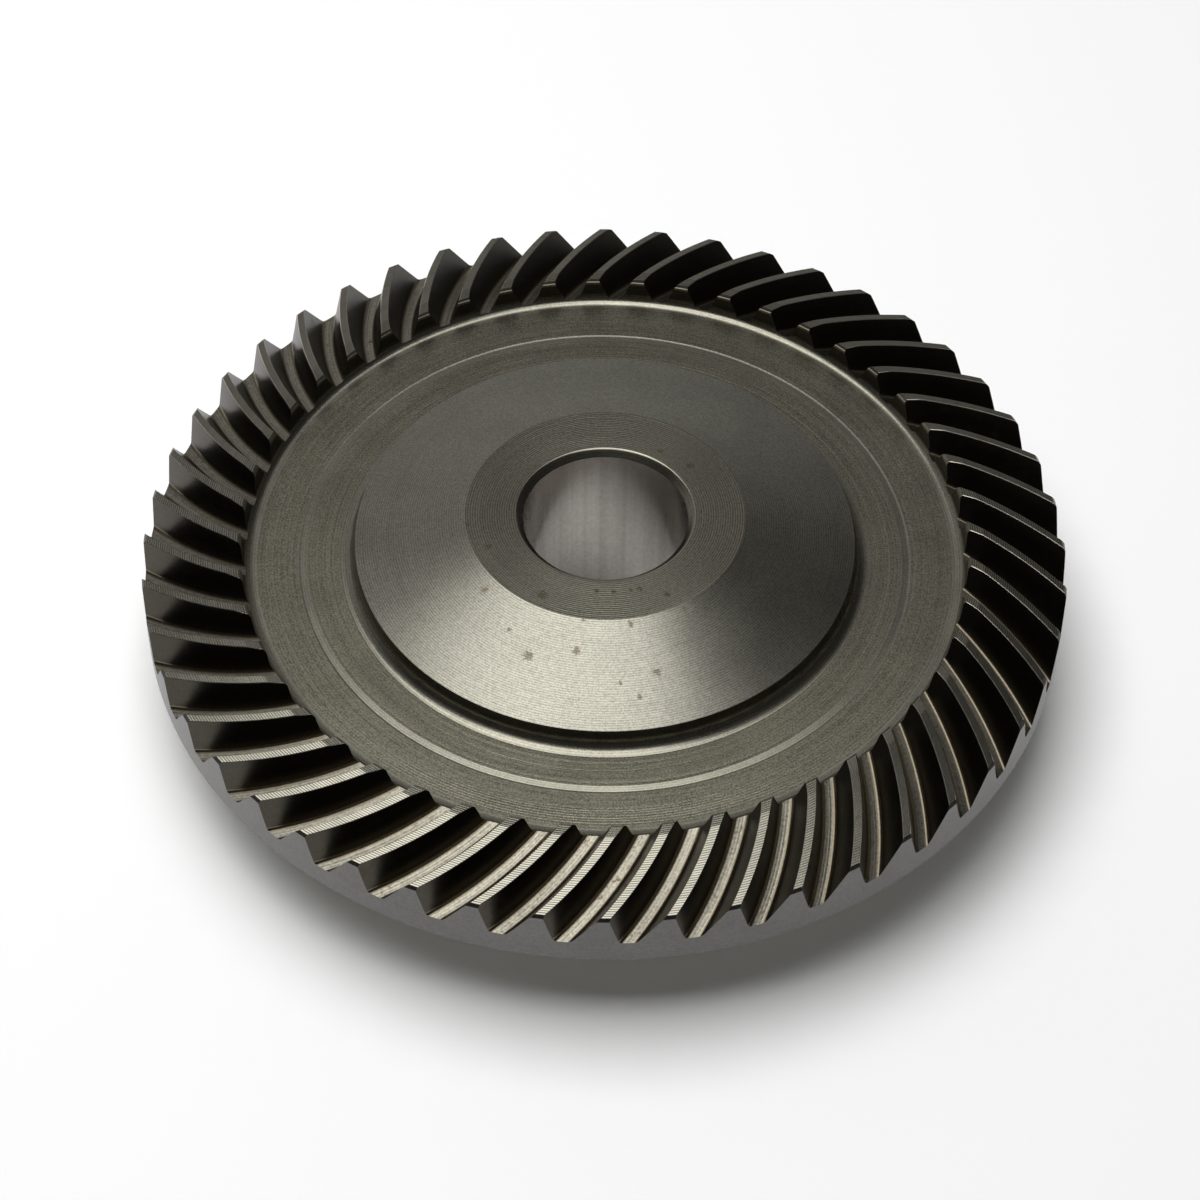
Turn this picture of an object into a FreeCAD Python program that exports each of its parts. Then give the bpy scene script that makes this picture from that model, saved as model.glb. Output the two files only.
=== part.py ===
"""Spiral bevel gear: one steel gear with a conical hub, a plain through bore and a back hub.

The blank is one turned profile round +Z. A tooth space is the path of a face-mill blade: a
trapezoid with broken corners that turns round the cutter's own axis, which stands square on
the root plane. The space is then repeated round the gear. All lengths are millimetres and all
angles degrees. The gear stands on its back hub at z = 0, with the teeth up, and the middle of
one tooth space crosses +X.
"""

import FreeCAD, Part
import os

import Sketcher

LABEL = "spiral_bevel_gear"

# Driving dimensions: alias, value, meaning
SIZES = (
    ("tooth_count", 48, "teeth round the gear"),
    ("outer_radius", 36.5, "rim, and the heel end of the teeth"),
    ("toe_radius", 28.7, "toe end of the teeth, on the flat facet"),
    ("toe_lean", 18.3, "outward lean of the toe end"),
    ("toe_chamfer", 0.2, "edge break on the toe end"),
    ("facet_width", 1.2, "flat facet turned on the toe end"),
    ("facet_height", 13.8, "flat facet above the back face"),
    ("face_angle", 9.5, "fall of the tooth tips towards the heel"),
    ("heel_chamfer", 0.2, "edge break on the heel end"),
    ("rim_height", 7.85, "underside of the rim above the back face"),
    ("web_height", 11.68, "flat web between the teeth and the hub"),
    ("toe_bevel", 0.5, "bevel between the web and the toe end, from the sharp corner"),
    ("step_radius", 23.6, "inner edge of the shallow step in the web"),
    ("step_width", 0.55, "width of the step's slope"),
    ("step_drop", 0.16, "fall of the web over the step"),
    ("hub_bevel", 0.5, "bevel between the web and the hub's wall"),
    ("hub_radius", 19.75, "upright wall of the hub"),
    ("hub_edge_height", 13.4, "outer edge of the hub's cone"),
    ("hub_flat_radius", 11.0, "flat top of the hub"),
    ("top_height", 16.0, "flat top above the back face"),
    ("bore_radius", 6.5, "plain through bore"),
    ("bore_chamfer", 0.5, "chamfer on both ends of the bore"),
    ("back_radius", 17.0, "hub behind the rim"),
    ("back_chamfer", 0.6, "edge break on the back face"),
    ("back_bevel", 1.2, "bevel between the back hub and the rim's underside"),
    ("tooth_depth", 2.5, "upright depth of a tooth space at the mean radius"),
    ("root_angle", 14.5, "fall of the tooth roots towards the heel"),
    ("spiral_angle", 35.9, "right-hand spiral at the mean radius"),
    ("cutter_radius", 30.5, "face mill, to the middle of the root land"),
    ("root_land", 0.58, "flat bottom of a tooth space"),
    ("root_break", 0.2, "corner breaks beside the root land, from the sharp corner"),
    ("inner_blade_angle", 22.5, "flank nearer the cutter's axis, from that axis"),
    ("outer_blade_angle", 20.0, "flank further from the cutter's axis, from that axis"),
)

# Sizes that follow from the driving ones, as expressions of the sheet
MEAN_RADIUS = "(sizes.toe_radius + sizes.outer_radius) / 2"
FACET_RADIUS = "(sizes.toe_radius + sizes.facet_width)"
HEEL_HEIGHT = ("sizes.facet_height"
               f" - (sizes.outer_radius - {FACET_RADIUS}) * tan(sizes.face_angle)")
MEAN_TIP_HEIGHT = (f"(sizes.facet_height - ({MEAN_RADIUS} - {FACET_RADIUS})"
                   " * tan(sizes.face_angle))")
ROOT_HEIGHT = f"({MEAN_TIP_HEIGHT} - sizes.tooth_depth)"
FACE_WIDTH = "(sizes.outer_radius - sizes.toe_radius)"
BLADE_HEIGHT = "sizes.tooth_depth * 1.3"

# The blade runs clear of both ends of a tooth, by its depth, either side of the mean point
CUTTER_SWEEP = f"2 * ({FACE_WIDTH} + sizes.tooth_depth / 2) / sizes.cutter_radius * 180 / pi"

ON_THE_AXIS = "0"


def add_sizes(doc):
    """Writes the driving dimensions into the document's sheet."""
    sheet = doc.addObject("Spreadsheet::Sheet", "sizes")
    for row, (alias, value, meaning) in enumerate(SIZES, start=1):
        sheet.set(f"A{row}", meaning)
        sheet.set(f"B{row}", str(value))
        sheet.setAlias(f"B{row}", alias)
    doc.recompute()
    return sheet


def origin_feature(body, role):
    """One of the body's own origin planes or axes."""
    return next(part for part in body.Origin.OriginFeatures if part.Role == role)


def new_sketch(body, name, role):
    """An empty sketch on one of the body's origin planes."""
    sketch = body.newObject("Sketcher::SketchObject", name)
    sketch.AttachmentSupport = [(origin_feature(body, role), "")]
    sketch.MapMode = "FlatFace"
    return sketch


def bind(sketch, constraint, expression):
    """Adds a dimension to the sketch and ties it to the sheet."""
    index = sketch.addConstraint(constraint)
    sketch.setExpression(f"Constraints[{index}]", expression)


def value_of(sketch, expression):
    """What an expression of the sheet comes to."""
    return float(sketch.evalExpression(expression))


def draw_profile(sketch, corners):
    """Draws a closed outline through corners, each an (x, y) pair of the sheet's expressions.

    The corners come in order round the outline. Neighbours that share an x or a y are joined by
    an upright or a level line, and every other corner is dimensioned from the sketch's origin.
    """
    points = [FreeCAD.Vector(value_of(sketch, x), value_of(sketch, y), 0) for x, y in corners]
    lines = []
    for number, start in enumerate(points):
        end = points[(number + 1) % len(points)]
        lines.append(sketch.addGeometry(Part.LineSegment(start, end), False))

    for number, (x, y) in enumerate(corners):
        line_in = lines[number - 1]
        line_out = lines[number]
        x_before, y_before = corners[number - 1] if number > 0 else (None, None)
        sketch.addConstraint(Sketcher.Constraint("Coincident", line_in, 2, line_out, 1))
        if x == x_before:
            sketch.addConstraint(Sketcher.Constraint("Vertical", line_in))
        else:
            bind(sketch, Sketcher.Constraint("DistanceX", -1, 1, line_out, 1, points[number].x), x)
        if y == y_before:
            sketch.addConstraint(Sketcher.Constraint("Horizontal", line_in))
        elif y == ON_THE_AXIS:
            sketch.addConstraint(Sketcher.Constraint("PointOnObject", line_out, 1, -1))
        else:
            bind(sketch, Sketcher.Constraint("DistanceY", -1, 1, line_out, 1, points[number].y), y)


def blank_corners():
    """Half section of the turned blank: x is the radius and y the height above the back face."""
    bore_mouth = "sizes.bore_radius + sizes.bore_chamfer"
    upper_web = "sizes.web_height + sizes.step_drop"
    toe_rise = "(sizes.facet_height - sizes.toe_chamfer - sizes.web_height)"
    toe_foot = f"sizes.toe_radius - {toe_rise} * tan(sizes.toe_lean)"
    heel_rise = "sizes.heel_chamfer * tan(sizes.face_angle)"
    return [
        (bore_mouth, ON_THE_AXIS),
        ("sizes.back_radius - sizes.back_chamfer", ON_THE_AXIS),
        ("sizes.back_radius", "sizes.back_chamfer"),
        ("sizes.back_radius", "sizes.rim_height - sizes.back_bevel"),
        ("sizes.back_radius + sizes.back_bevel", "sizes.rim_height"),
        ("sizes.outer_radius", "sizes.rim_height"),
        ("sizes.outer_radius", f"{HEEL_HEIGHT} - sizes.heel_chamfer"),
        ("sizes.outer_radius - sizes.heel_chamfer", f"{HEEL_HEIGHT} + {heel_rise}"),
        (FACET_RADIUS, "sizes.facet_height"),
        ("sizes.toe_radius + sizes.toe_chamfer", "sizes.facet_height"),
        ("sizes.toe_radius", "sizes.facet_height - sizes.toe_chamfer"),
        (f"{toe_foot} + sizes.toe_bevel * sin(sizes.toe_lean)",
         "sizes.web_height + sizes.toe_bevel * cos(sizes.toe_lean)"),
        (f"{toe_foot} - sizes.toe_bevel", "sizes.web_height"),
        ("sizes.step_radius + sizes.step_width", "sizes.web_height"),
        ("sizes.step_radius", upper_web),
        ("sizes.hub_radius + sizes.hub_bevel", upper_web),
        ("sizes.hub_radius", f"{upper_web} + sizes.hub_bevel"),
        ("sizes.hub_radius", "sizes.hub_edge_height"),
        ("sizes.hub_flat_radius", "sizes.top_height"),
        (bore_mouth, "sizes.top_height"),
        ("sizes.bore_radius", "sizes.top_height - sizes.bore_chamfer"),
        ("sizes.bore_radius", "sizes.bore_chamfer"),
    ]


def blade_corners():
    """The blade's outline: x is the distance from the cutter's axis, y the height above the root."""
    inner_flank = "sizes.inner_blade_angle"
    outer_flank = "sizes.outer_blade_angle"
    inner_foot = "sizes.cutter_radius - sizes.root_land / 2 - sizes.root_break"
    outer_foot = "sizes.cutter_radius + sizes.root_land / 2 + sizes.root_break"
    return [
        (f"{inner_foot} - {BLADE_HEIGHT} * tan({inner_flank})", BLADE_HEIGHT),
        (f"{inner_foot} - sizes.root_break * sin({inner_flank})",
         f"sizes.root_break * cos({inner_flank})"),
        (f"{inner_foot} + sizes.root_break", ON_THE_AXIS),
        (f"{outer_foot} - sizes.root_break", ON_THE_AXIS),
        (f"{outer_foot} + sizes.root_break * sin({outer_flank})",
         f"sizes.root_break * cos({outer_flank})"),
        (f"{outer_foot} + {BLADE_HEIGHT} * tan({outer_flank})", BLADE_HEIGHT),
    ]


def turn_blank(body):
    """The blank, turned round the gear's axis."""
    sketch = new_sketch(body, "blank_profile", "XZ_Plane")
    draw_profile(sketch, blank_corners())
    blank = body.newObject("PartDesign::Revolution", "blank")
    blank.Profile = sketch
    blank.ReferenceAxis = (sketch, ["V_Axis"])
    blank.Angle = 360
    return blank


def mill_tooth_space(body):
    """One tooth space, milled by a blade that turns round the cutter's axis.

    The sketch lies in the plane of the cutter's axis and the middle of the space: it is tipped by
    the root angle, then swung by the spiral angle about the tipped axis.
    """
    sketch = new_sketch(body, "blade_profile", "XZ_Plane")
    sketch.setExpression("AttachmentOffset.Rotation.Yaw", "-sizes.root_angle")
    sketch.setExpression("AttachmentOffset.Rotation.Pitch", "90 - sizes.spiral_angle")
    across = "sizes.cutter_radius * sin(sizes.spiral_angle)"
    sketch.setExpression("AttachmentOffset.Base.x", f"{MEAN_RADIUS} - {across} * cos(sizes.root_angle)")
    sketch.setExpression("AttachmentOffset.Base.y", f"{ROOT_HEIGHT} + {across} * sin(sizes.root_angle)")
    sketch.setExpression("AttachmentOffset.Base.z", "sizes.cutter_radius * cos(sizes.spiral_angle)")
    draw_profile(sketch, blade_corners())
    space = body.newObject("PartDesign::Groove", "tooth_space")
    space.Profile = sketch
    space.ReferenceAxis = (sketch, ["V_Axis"])
    space.Midplane = True
    space.setExpression("Angle", CUTTER_SWEEP)
    return space


def repeat_tooth_space(body, space):
    """The tooth space, repeated round the gear's axis."""
    teeth = body.newObject("PartDesign::PolarPattern", "teeth")
    teeth.Originals = [space]
    teeth.Axis = (origin_feature(body, "Z_Axis"), [""])
    teeth.Angle = 360
    teeth.setExpression("Occurrences", "sizes.tooth_count")
    body.Tip = teeth
    return teeth


def check_cut(before, after, what):
    """Stops the build when a cut has taken nothing away."""
    removed = before.Shape.Volume - after.Shape.Volume
    if removed <= 0:
        raise RuntimeError(f"{what} removed nothing")
    print(f"{what}: {removed:.1f} mm3 removed")


def check_document(doc):
    """Stops the build when any object of the document has failed."""
    for item in doc.Objects:
        if "Invalid" in item.State or "Error" in item.State:
            raise RuntimeError(f"{item.Name} failed: {item.State}")
        if item.isDerivedFrom("Sketcher::SketchObject") and not item.FullyConstrained:
            raise RuntimeError(f"{item.Name} is not fully constrained")


def export(body):
    """Writes the finished piece under its own label."""
    shape = body.Shape
    if shape.isNull() or not shape.isValid() or len(shape.Solids) != 1:
        raise RuntimeError(f"{body.Label} is not one valid solid")
    os.makedirs("parts", exist_ok=True)
    shape.exportStep(f"parts/{body.Label}.step")
    print(f"{body.Label}: {shape.Volume:.1f} mm3, {len(shape.Faces)} faces")


def main():
    """Builds the gear and writes its STEP file."""
    doc = FreeCAD.newDocument("SpiralBevelGear")
    add_sizes(doc)
    body = doc.addObject("PartDesign::Body", "gear")
    body.Label = LABEL
    blank = turn_blank(body)
    space = mill_tooth_space(body)
    doc.recompute()
    check_cut(blank, space, "one tooth space")
    teeth = repeat_tooth_space(body, space)
    doc.recompute()
    check_cut(space, teeth, "the other tooth spaces")
    check_document(doc)
    export(body)


main()
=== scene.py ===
"""Looks of a spiral bevel gear in bare steel, standing on its back hub on a pale floor.

The skin of the gear is worked out from two things: the half section of the turned blank, and
the path of the face mill that cuts the tooth spaces. One pitch of the teeth is a handful of
grids that share their edges, and it is repeated round the axis. Lengths in the dataclasses are
millimetres and angles are degrees, unless a name says otherwise.
"""

from __future__ import annotations

import logging
import math
from dataclasses import dataclass, field
from enum import Enum
from typing import Callable

import bmesh
import bpy
import numpy as np
from mathutils import Matrix, Vector

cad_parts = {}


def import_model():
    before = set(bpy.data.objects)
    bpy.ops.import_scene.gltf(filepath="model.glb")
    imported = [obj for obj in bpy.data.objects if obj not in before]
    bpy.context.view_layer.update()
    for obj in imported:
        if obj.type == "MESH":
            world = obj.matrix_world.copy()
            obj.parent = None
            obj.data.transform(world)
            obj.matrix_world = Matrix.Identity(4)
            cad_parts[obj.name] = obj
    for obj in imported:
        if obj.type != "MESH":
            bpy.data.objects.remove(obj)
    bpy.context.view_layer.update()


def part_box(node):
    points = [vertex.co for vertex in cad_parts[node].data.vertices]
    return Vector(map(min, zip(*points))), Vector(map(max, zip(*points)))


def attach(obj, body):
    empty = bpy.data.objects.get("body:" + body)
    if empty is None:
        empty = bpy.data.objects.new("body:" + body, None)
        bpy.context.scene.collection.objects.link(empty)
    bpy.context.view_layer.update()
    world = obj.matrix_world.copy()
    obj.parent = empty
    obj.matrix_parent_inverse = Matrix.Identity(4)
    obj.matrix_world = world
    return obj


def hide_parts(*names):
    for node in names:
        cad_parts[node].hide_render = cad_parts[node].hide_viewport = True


LOG = logging.getLogger("gear")
MM = 0.001
NODE = "spiral_bevel_gear"
HALVINGS = 50
PLACE_SOCKETS = ("Vector", "Centre")
Array = np.ndarray
Feeds = dict[str | int, object]
Socket = bpy.types.NodeSocket


class Zone(Enum):
    """The surfaces of the gear that are finished in ways of their own."""

    BORE = 0
    HUB_TOP = 1
    HUB_CONE = 2
    WEB = 3
    TIP = 4
    FACET = 5
    FLANK = 6
    ROOT = 7
    RIM = 8
    EDGE = 9
    BACK = 10
    STEP = 11
    WALL = 12
    FILLET = 13


class End(Enum):
    """The two ends of a tooth; the value is the end's column in a grid that runs along it."""

    TOE = 0
    HEEL = -1


class MarkRun(Enum):
    """Which way a tool left its lines."""

    ROUND_BY_RADIUS = "radius"
    ROUND_BY_HEIGHT = "height"
    ALONG_TOOTH = "tooth"
    DOWN_BORE = "bore"


@dataclass(frozen=True)
class GearSizes:
    """Sizes of the gear; the first two come from the frame."""

    outer_radius: float
    top_height: float
    tooth_count: int = 48
    toe_radius: float = 28.7
    toe_lean: float = 3.0
    toe_chamfer: float = 0.2
    toe_lip_lean: float = 22.0
    toe_fillet: float = 0.85
    web_margin: float = 0.25
    facet_width: float = 1.2
    facet_height: float = 13.8
    face_angle: float = 9.5
    heel_chamfer: float = 0.2
    rim_height: float = 7.85
    web_height: float = 11.68
    step_radius: float = 23.6
    step_width: float = 0.52
    step_drop: float = 0.023
    groove_width: float = 0.15
    groove_depth: float = 0.025
    hub_fillet: float = 1.15
    hub_radius: float = 19.75
    hub_edge_height: float = 13.4
    hub_flat_radius: float = 11.0
    bore_radius: float = 6.5
    bore_chamfer: float = 0.5
    bore_round: float = 0.3
    back_radius: float = 17.0
    back_chamfer: float = 0.6
    back_fillet: float = 1.5
    tooth_depth: float = 2.5
    root_angle: float = 14.5
    spiral_angle: float = 35.9
    cutter_radius: float = 30.5
    root_land: float = 0.58
    root_fillet: float = 0.3
    inner_blade_angle: float = 22.5
    outer_blade_angle: float = 20.0
    edge_break: float = 0.035

    @classmethod
    def from_frame(cls) -> GearSizes:
        """Gives the sizes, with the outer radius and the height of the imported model."""
        low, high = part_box(NODE)
        return cls(outer_radius=(high.x - low.x) / 2 / MM, top_height=(high.z - low.z) / MM)

    @property
    def pitch(self) -> float:
        """Angle from one tooth space to the next, in radians."""
        return 2 * math.pi / self.tooth_count

    @property
    def facet_radius(self) -> float:
        """Outer edge of the flat facet on the toe end."""
        return self.toe_radius + self.facet_width

    @property
    def mean_radius(self) -> float:
        """Middle of the face width."""
        return (self.toe_radius + self.outer_radius) / 2

    @property
    def toe_foot(self) -> float:
        """Radius at which the toe end would meet the web in a sharp corner."""
        rise = self.facet_height - self.toe_chamfer - self.web_height
        return self.toe_radius - rise * math.tan(math.radians(self.toe_lean))

    @property
    def web_end(self) -> float:
        """Radius at which the body's web meets the toothed rim's own stretch of web."""
        setback = self.toe_fillet * math.tan(math.radians(90.0 - self.toe_lean) / 2)
        return self.toe_foot - setback - self.web_margin

    @property
    def toe_lip_height(self) -> float:
        """Upper edge of the lower of the two fine lips on the toe end."""
        return self.facet_height - self.toe_chamfer + self.edge_break

    def tip_height(self, radius: Array) -> Array:
        """Height of the tooth tips at a radius: flat on the facet, then falling to the rim."""
        fall = np.maximum(radius - self.facet_radius, 0.0) * math.tan(math.radians(self.face_angle))
        return self.facet_height - fall


@dataclass(frozen=True)
class Corner:
    """A corner of the half section, with the finish of the stretch that follows it."""

    radius: float
    height: float
    zone: Zone
    fillet: float = 0.0


class Outline:
    """A run of the blank's half section: straight stretches joined by tangent arcs."""

    ARC_STEP = 11

    def __init__(self, corners: list[Corner]) -> None:
        """Works out the points of the run.

        Args:
            corners: the corners in order; the first and last are sharp.
        """
        radii: list[float] = []
        heights: list[float] = []
        self.zones: list[Zone] = []
        for number, corner in enumerate(corners):
            here = np.array([corner.radius, corner.height])
            spots = here[None, :]
            if corner.fillet > 0.0:
                before, after = (
                    np.array([corners[near].radius, corners[near].height])
                    for near in (number - 1, number + 1)
                )
                spots = self.arc(before, here, after, corner.fillet)
            radii.extend(spots[:, 0])
            heights.extend(spots[:, 1])
            self.zones.extend([corner.zone] * len(spots))
        self.radius = np.array(radii)
        self.height = np.array(heights)
        steps = np.hypot(np.diff(self.radius), np.diff(self.height))
        self.length = np.concatenate([[0.0], np.cumsum(steps)])
        self.zones = self.zones[: len(self.radius) - 1]

    @staticmethod
    def arc(before: Array, corner: Array, after: Array, size: float) -> Array:
        """Points of the arc that rounds a corner and is tangent to both sides.

        The arc is the circle's centre plus its radius turned evenly from one tangent point to
        the other.

        Args:
            before: the corner before.
            corner: the corner itself.
            after: the corner after.
            size: the arc's radius.

        Returns:
            The points, one row each.
        """
        way_in = (corner - before) / np.linalg.norm(corner - before)
        way_out = (after - corner) / np.linalg.norm(after - corner)
        turn = math.acos(float(np.clip(way_in @ way_out, -1.0, 1.0)))
        entry = corner - way_in * size * math.tan(turn / 2)
        side = np.sign(way_in[0] * way_out[1] - way_in[1] * way_out[0])
        centre = entry + side * size * np.array([-way_in[1], way_in[0]])
        steps = max(2, math.ceil(math.degrees(turn) / Outline.ARC_STEP))
        angles = side * np.linspace(0.0, turn, steps + 1)
        spoke = entry - centre
        radius = centre[0] + spoke[0] * np.cos(angles) - spoke[1] * np.sin(angles)
        height = centre[1] + spoke[0] * np.sin(angles) + spoke[1] * np.cos(angles)
        return np.stack([radius, height], axis=-1)


class Blank:
    """The turned blank: which radius and height belong to each part of its skin."""

    def __init__(self, sizes: GearSizes) -> None:
        """Lays out the toe end, the heel end and everything between the two at the back.

        Args:
            sizes: the gear's sizes.
        """
        self.sizes = sizes
        heel_edge = float(sizes.tip_height(np.array(sizes.outer_radius)))
        heel_top = float(sizes.tip_height(np.array(sizes.outer_radius - sizes.heel_chamfer)))
        lip = sizes.edge_break / math.tan(math.radians(sizes.toe_lip_lean))
        facet_start = sizes.toe_radius + sizes.toe_chamfer
        self.toe = Outline(
            [
                Corner(sizes.web_end, sizes.web_height, Zone.WEB),
                Corner(sizes.toe_foot, sizes.web_height, Zone.WALL, sizes.toe_fillet),
                Corner(sizes.toe_radius, sizes.facet_height - sizes.toe_chamfer, Zone.EDGE),
                Corner(sizes.toe_radius + lip, sizes.toe_lip_height, Zone.WALL),
                Corner(facet_start - lip, sizes.facet_height - sizes.edge_break, Zone.EDGE),
                Corner(facet_start, sizes.facet_height, Zone.FACET),
            ]
        )
        self.heel = Outline(
            [
                Corner(sizes.outer_radius, sizes.rim_height, Zone.RIM),
                Corner(sizes.outer_radius, heel_edge - sizes.heel_chamfer, Zone.RIM),
                Corner(sizes.outer_radius - sizes.heel_chamfer, heel_top, Zone.RIM),
            ]
        )
        self.heel_edge_height = heel_edge - sizes.heel_chamfer
        self.body = self.turned_body()

    def turned_body(self) -> Outline:
        """The half section from the web inwards, through the bore and out along the back.

        Returns:
            The outline, from the toothed rim's web side to its lower edge.
        """
        sizes = self.sizes
        upper_web = sizes.web_height + sizes.step_drop
        foot = sizes.step_radius + sizes.step_width
        mouth = sizes.bore_radius + sizes.bore_chamfer
        return Outline(
            [
                Corner(sizes.web_end, sizes.web_height, Zone.WEB),
                Corner(foot + sizes.groove_width, sizes.web_height, Zone.STEP),
                Corner(foot, sizes.web_height - sizes.groove_depth, Zone.STEP),
                Corner(sizes.step_radius, upper_web, Zone.WEB),
                Corner(sizes.hub_radius, upper_web, Zone.STEP, sizes.hub_fillet),
                Corner(sizes.hub_radius, sizes.hub_edge_height, Zone.HUB_CONE),
                Corner(sizes.hub_flat_radius, sizes.top_height, Zone.HUB_TOP),
                Corner(mouth, sizes.top_height, Zone.STEP, sizes.bore_round),
                Corner(sizes.bore_radius, sizes.top_height - sizes.bore_chamfer, Zone.BORE),
                Corner(sizes.bore_radius, sizes.bore_chamfer, Zone.BORE),
                Corner(mouth, 0.0, Zone.BACK),
                Corner(sizes.back_radius - sizes.back_chamfer, 0.0, Zone.BACK),
                Corner(sizes.back_radius, sizes.back_chamfer, Zone.BACK),
                Corner(sizes.back_radius, sizes.rim_height, Zone.BACK, sizes.back_fillet),
                Corner(sizes.outer_radius, sizes.rim_height, Zone.BACK),
            ]
        )

    def radius_at(self, end: End, height: Array) -> Array:
        """Radius of one end of the teeth at a height, without the toe's stretch of web."""
        if end is End.TOE:
            return np.interp(height, self.toe.height[1:], self.toe.radius[1:])
        return np.interp(height, self.heel.height, self.heel.radius)


@dataclass(frozen=True)
class FaceMill:
    """The cutter: a blade profile that turns round an axis square to the root plane.

    A point of the blade is a distance from the cutter's axis and a height above the root plane.
    Its path is the cutter's centre, plus that distance along a spoke that turns, plus that
    height along the axis.
    """

    sizes: GearSizes

    def frame(self) -> tuple[Array, Array, Array, Array]:
        """Places the cutter over the tooth space whose middle crosses +X.

        Returns:
            The cutter's centre, the spoke to the mean point, the way of travel there and the axis.
        """
        sizes = self.sizes
        tip = math.radians(sizes.root_angle)
        spiral = math.radians(sizes.spiral_angle)
        down_slope = np.array([math.cos(tip), 0.0, -math.sin(tip)])
        axis = np.array([math.sin(tip), 0.0, math.cos(tip)])
        round_gear = np.array([0.0, 1.0, 0.0])
        spoke = math.sin(spiral) * down_slope + math.cos(spiral) * round_gear
        travel = math.cos(spiral) * down_slope - math.sin(spiral) * round_gear
        root = float(sizes.tip_height(np.array(sizes.mean_radius))) - sizes.tooth_depth
        mean_point = np.array([sizes.mean_radius, 0.0, root])
        return mean_point - sizes.cutter_radius * spoke, spoke, travel, axis

    def path(self, reach: Array, height: Array, turn: Array) -> Array:
        """Where points of the blade are at a turn of the cutter.

        Args:
            reach: distances from the cutter's axis.
            height: heights above the root plane.
            turn: turns of the cutter from the mean point towards the heel, in radians.

        Returns:
            The points, with x, y and z in the last axis.
        """
        centre, spoke, travel, axis = self.frame()
        out = np.cos(turn)[..., None] * spoke + np.sin(turn)[..., None] * travel
        return centre + np.asarray(reach)[..., None] * out + np.asarray(height)[..., None] * axis

    def flank_path(self, side: int, height: Array, turn: Array) -> Array:
        """Where points of a flank are at a turn of the cutter."""
        return self.path(self.flank_reach(side, height), height, turn)

    def blade_angle(self, side: int) -> float:
        """Lean of a flank of the blade from the cutter's axis, in radians."""
        return math.radians(self.sizes.inner_blade_angle if side < 0 else self.sizes.outer_blade_angle)

    def flank_reach(self, side: int, height: Array) -> Array:
        """Distance of a flank from the cutter's axis.

        Args:
            side: -1 for the flank nearer the cutter's axis and 1 for the other.
            height: heights above the root plane.

        Returns:
            The distances, of the same shape as the heights.
        """
        sizes = self.sizes
        angle = self.blade_angle(side)
        foot = sizes.root_land / 2 + sizes.root_fillet * math.tan(math.pi / 4 - angle / 2)
        return sizes.cutter_radius + side * (foot + np.asarray(height) * math.tan(angle))

    def root_profile(self, fillet_steps: int, land_steps: int) -> tuple[Array, Array]:
        """The blade's foot: a fillet, the flat land and the other fillet.

        Args:
            fillet_steps: spans in each fillet.
            land_steps: spans in the land.

        Returns:
            The distances from the cutter's axis and the heights above the root plane.
        """
        sizes = self.sizes
        reach: list[Array] = []
        height: list[Array] = []
        for side in (-1, 1):
            sweep = np.linspace(math.pi / 2 - self.blade_angle(side), 0.0, fillet_steps + 1)[:: -side]
            aside = sizes.root_land / 2 + sizes.root_fillet * np.sin(sweep)
            reach.append(sizes.cutter_radius + side * aside)
            height.append(sizes.root_fillet * (1.0 - np.cos(sweep)))
        middle = np.linspace(reach[0][-1], reach[1][0], land_steps + 1)[1:-1]
        level = np.zeros(len(middle))
        return (
            np.concatenate([reach[0], middle, reach[1]]),
            np.concatenate([height[0], level, height[1]]),
        )


def halve_down(function: Callable[[Array], Array], low: Array, high: Array) -> Array:
    """Finds where a rising function is zero, for whole arrays, by halving the span.

    Args:
        function: takes an array and gives one of the same shape.
        low: values at which the function is below zero.
        high: values at which it is above zero.

    Returns:
        The roots.
    """
    for _ in range(HALVINGS):
        middle = (low + high) / 2
        above = function(middle) > 0.0
        high = np.where(above, middle, high)
        low = np.where(above, low, middle)
    return (low + high) / 2


def radius_of(points: Array) -> Array:
    """Distance of points from the gear's axis."""
    return np.hypot(points[..., 0], points[..., 1])


def azimuth_of(points: Array) -> Array:
    """Angle of points round the gear's axis, in radians."""
    return np.arctan2(points[..., 1], points[..., 0])


def place(radius: Array, azimuth: Array, height: Array) -> Array:
    """Points from cylindrical coordinates, with x, y and z in the last axis."""
    radius, azimuth, height = np.broadcast_arrays(radius, azimuth, height)
    return np.stack([radius * np.cos(azimuth), radius * np.sin(azimuth), height], axis=-1)


@dataclass
class Grid:
    """A sheet of quads: points on two parameters, their UV places and each quad's finish."""

    points: Array
    uv: Array
    zones: Array

    @classmethod
    def by_rows(cls, points: Array, uv: Array, zones: list[Zone]) -> Grid:
        """Makes a grid from points, their UV places and the finish of each row of quads."""
        numbers = np.array([zone.value for zone in zones])
        return cls(points, uv, np.repeat(numbers[:, None], points.shape[1] - 1, axis=1))


@dataclass
class Flank:
    """One flank of a tooth space, from its foot to just under the tip edge."""

    turn: Array
    height: Array
    edge_radius: Array
    edge_azimuth: Array


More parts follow.
